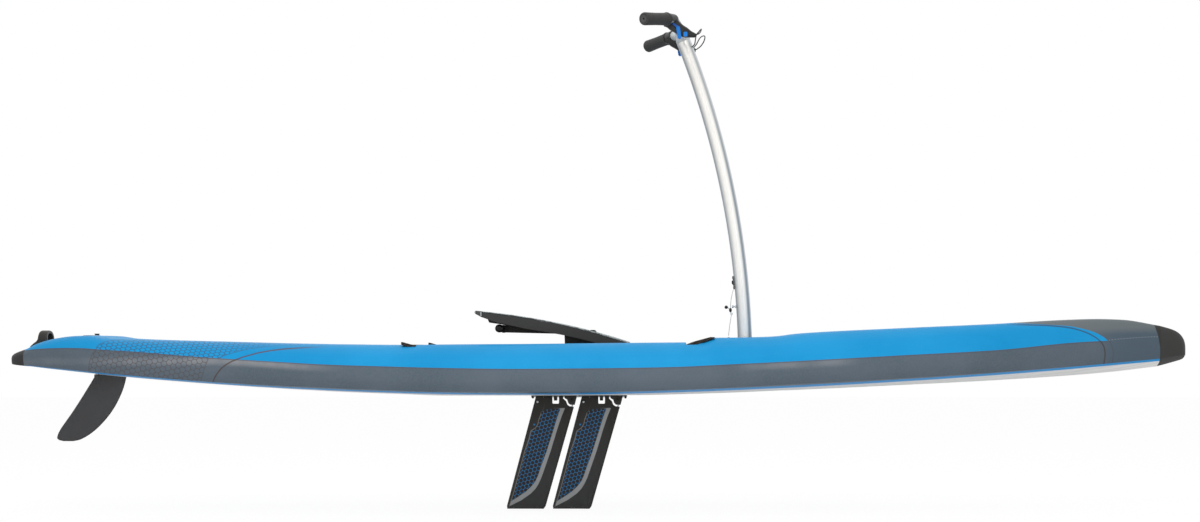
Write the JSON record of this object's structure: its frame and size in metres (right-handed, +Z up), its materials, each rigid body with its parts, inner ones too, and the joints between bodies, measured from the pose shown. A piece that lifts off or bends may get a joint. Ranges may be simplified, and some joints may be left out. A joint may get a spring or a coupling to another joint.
{
  "type": "pedal paddle board",
  "caption": "Stand-up pedal board: rigid hull with padded step-in cockpit, stair-step pedals driving sweeping fins below, steered rudder, leaning mast with swept handlebar.",
  "frame": {"origin": "on the flat of the hull bottom, on the centreline, below the rear half of the pedal drive", "axes": "+X towards the bow, +Y to port, +Z up; the row is shown with its starboard side, -Y, to the camera"},
  "size_m": [3.6316, 0.802, 1.5151],
  "materials": {
    "hull_skin": "satin skin, blue over charcoal grey",
    "bumper_rubber": "matt",
    "deck_foam": "matt foam",
    "tread_foam": "matt, light ribs across a dark bed",
    "moulded_black": "fine texture",
    "fin_elastomer": "satin",
    "rudder_plastic": "satin",
    "grip_rubber": "matt",
    "mast_alloy": "satin silver",
    "cast_alloy": "satin cast",
    "end_cap_alloy": "satin",
    "lever_blue": "satin",
    "stainless": "brushed",
    "cable_jacket": "satin",
    "lanyard_cord": "fine cord"
  },
  "bodies": {
    "board": {"hull": "hull_skin", "nose_cap": "bumper_rubber", "tail_cap": "bumper_rubber", "deck_pad": "deck_foam", "well_liner": "moulded_black", "mast_base": "moulded_black", "tail_handle": "moulded_black", "rudder_tube": "moulded_black", "lanyard_eye": "stainless", "drive_spine": "moulded_black", "crank_spindle": "stainless", "fin_shaft": "stainless", "pedal_hinge_starboard": "stainless", "pedal_hinge_port": "stainless", "mast_tube": "mast_alloy", "mast_head": "cast_alloy", "handlebar": "mast_alloy", "grip_starboard": "grip_rubber", "grip_port": "grip_rubber", "lever_hood_starboard": "moulded_black", "lever_hood_port": "moulded_black", "steering_cable_starboard": "cable_jacket", "steering_cable_port": "cable_jacket", "mast_cleat": "moulded_black", "mast_eye": "stainless", "lanyard_upper": "lanyard_cord", "lanyard_lower": "lanyard_cord", "lanyard_bead": "moulded_black", "lanyard_snap": "stainless", "pull_ball": "moulded_black"},
    "latch_aft": {"latch_cam_aft": "moulded_black"},
    "latch_fore": {"latch_cam_fore": "moulded_black"},
    "idler": {"idler_pulley": "moulded_black"},
    "rudder": {"rudder_blade": "rudder_plastic", "rudder_stock": "stainless", "rudder_yoke": "stainless", "rudder_knob": "moulded_black"},
    "crank_starboard": {"crank_arm_starboard": "moulded_black"},
    "roller_wheel_starboard": {"roller_starboard": "moulded_black"},
    "foot_starboard": {"foot_pad_starboard": "moulded_black", "foot_grip_starboard": "tread_foam", "foot_end_cap_starboard": "end_cap_alloy"},
    "lever_starboard": {"steering_lever_starboard": "lever_blue"},
    "button_starboard": {"lock_button_starboard": "lever_blue"},
    "crank_port": {"crank_arm_port": "moulded_black"},
    "roller_wheel_port": {"roller_port": "moulded_black"},
    "foot_port": {"foot_pad_port": "moulded_black", "foot_grip_port": "tread_foam", "foot_end_cap_port": "end_cap_alloy"},
    "lever_port": {"steering_lever_port": "lever_blue"},
    "button_port": {"lock_button_port": "lever_blue"},
    "fin_aft": {"fin_blade_aft": "fin_elastomer", "fin_mast_aft": "stainless", "fin_sprocket_aft": "moulded_black", "clew_screw_aft": "stainless"},
    "fin_fore": {"fin_blade_fore": "fin_elastomer", "fin_mast_fore": "stainless", "fin_sprocket_fore": "moulded_black", "clew_screw_fore": "stainless"}
  },
  "joints": [
    {"name": "crank_starboard_swing", "type": "hinge", "parent": "board", "child": "crank_starboard", "pos_m": [0.3, 0, 0.142], "axis": [0, 1, 0], "range_deg": [-14.5, 14.5]},
    {"name": "crank_port_swing", "type": "hinge", "parent": "board", "child": "crank_port", "pos_m": [0.3, 0, 0.142], "axis": [0, 1, 0], "range_deg": [-14.5, 14.5]},
    {"name": "foot_starboard_tilt", "type": "hinge", "parent": "board", "child": "foot_starboard", "pos_m": [0.497, 0, 0.1385], "axis": [0, 1, 0], "range_deg": [-8.5, 8.5]},
    {"name": "foot_port_tilt", "type": "hinge", "parent": "board", "child": "foot_port", "pos_m": [0.497, 0, 0.1385], "axis": [0, 1, 0], "range_deg": [-8.5, 8.5]},
    {"name": "fin_fore_sweep", "type": "hinge", "parent": "board", "child": "fin_fore", "pos_m": [0.3595, 0, -0.004], "axis": [1, 0, 0], "range_deg": [-76, 76]},
    {"name": "fin_aft_sweep", "type": "hinge", "parent": "board", "child": "fin_aft", "pos_m": [0.2165, 0, -0.004], "axis": [1, 0, 0], "range_deg": [-76, 76]},
    {"name": "idler_turn", "type": "hinge", "parent": "board", "child": "idler", "pos_m": [0.381, 0, 0.14], "axis": [0, 0, 1], "range_deg": [-17, 17]},
    {"name": "roller_starboard_spin", "type": "hinge", "parent": "crank_starboard", "child": "roller_wheel_starboard", "pos_m": [0.0467, -0.0615, 0.2066], "axis": [0, 1, 0], "continuous": true},
    {"name": "roller_port_spin", "type": "hinge", "parent": "crank_port", "child": "roller_wheel_port", "pos_m": [0.0467, 0.0615, 0.2066], "axis": [0, 1, 0], "continuous": true},
    {"name": "latch_aft_swing", "type": "hinge", "parent": "board", "child": "latch_aft", "pos_m": [0.128, 0, 0.137], "axis": [0, -1, 0], "range_deg": [0, 105]},
    {"name": "latch_fore_swing", "type": "hinge", "parent": "board", "child": "latch_fore", "pos_m": [0.448, 0, 0.137], "axis": [0, 1, 0], "range_deg": [0, 105]},
    {"name": "rudder_turn", "type": "hinge", "parent": "board", "child": "rudder", "pos_m": [-1.214, 0, 0], "axis": [0, 0, 1], "range_deg": [-32, 32]},
    {"name": "lever_starboard_swing", "type": "hinge", "parent": "board", "child": "lever_starboard", "pos_m": [0.597, -0.1745, 1.116], "axis": [0, 1, 0], "range_deg": [-12.5, 12.5]},
    {"name": "lever_port_swing", "type": "hinge", "parent": "board", "child": "lever_port", "pos_m": [0.597, 0.1745, 1.116], "axis": [0, 1, 0], "range_deg": [-12.5, 12.5]},
    {"name": "button_starboard_press", "type": "slide", "parent": "board", "child": "button_starboard", "axis": [0, 1, 0], "range_m": [0, 0.003], "stiffness_N_per_m": 300},
    {"name": "button_port_press", "type": "slide", "parent": "board", "child": "button_port", "axis": [0, -1, 0], "range_m": [0, 0.003], "stiffness_N_per_m": 300}
  ],
  "couplings": [
    {"joint": "crank_port_swing", "follows": "crank_starboard_swing", "ratio": -1},
    {"joint": "foot_starboard_tilt", "follows": "crank_starboard_swing", "ratio": 0.571},
    {"joint": "foot_port_tilt", "follows": "crank_starboard_swing", "ratio": -0.571},
    {"joint": "fin_fore_sweep", "follows": "crank_starboard_swing", "ratio": 5.2},
    {"joint": "fin_aft_sweep", "follows": "crank_starboard_swing", "ratio": -5.2},
    {"joint": "idler_turn", "follows": "crank_starboard_swing", "ratio": 1.12},
    {"joint": "lever_starboard_swing", "follows": "rudder_turn", "ratio": 0.38},
    {"joint": "lever_port_swing", "follows": "rudder_turn", "ratio": -0.38}
  ]
}
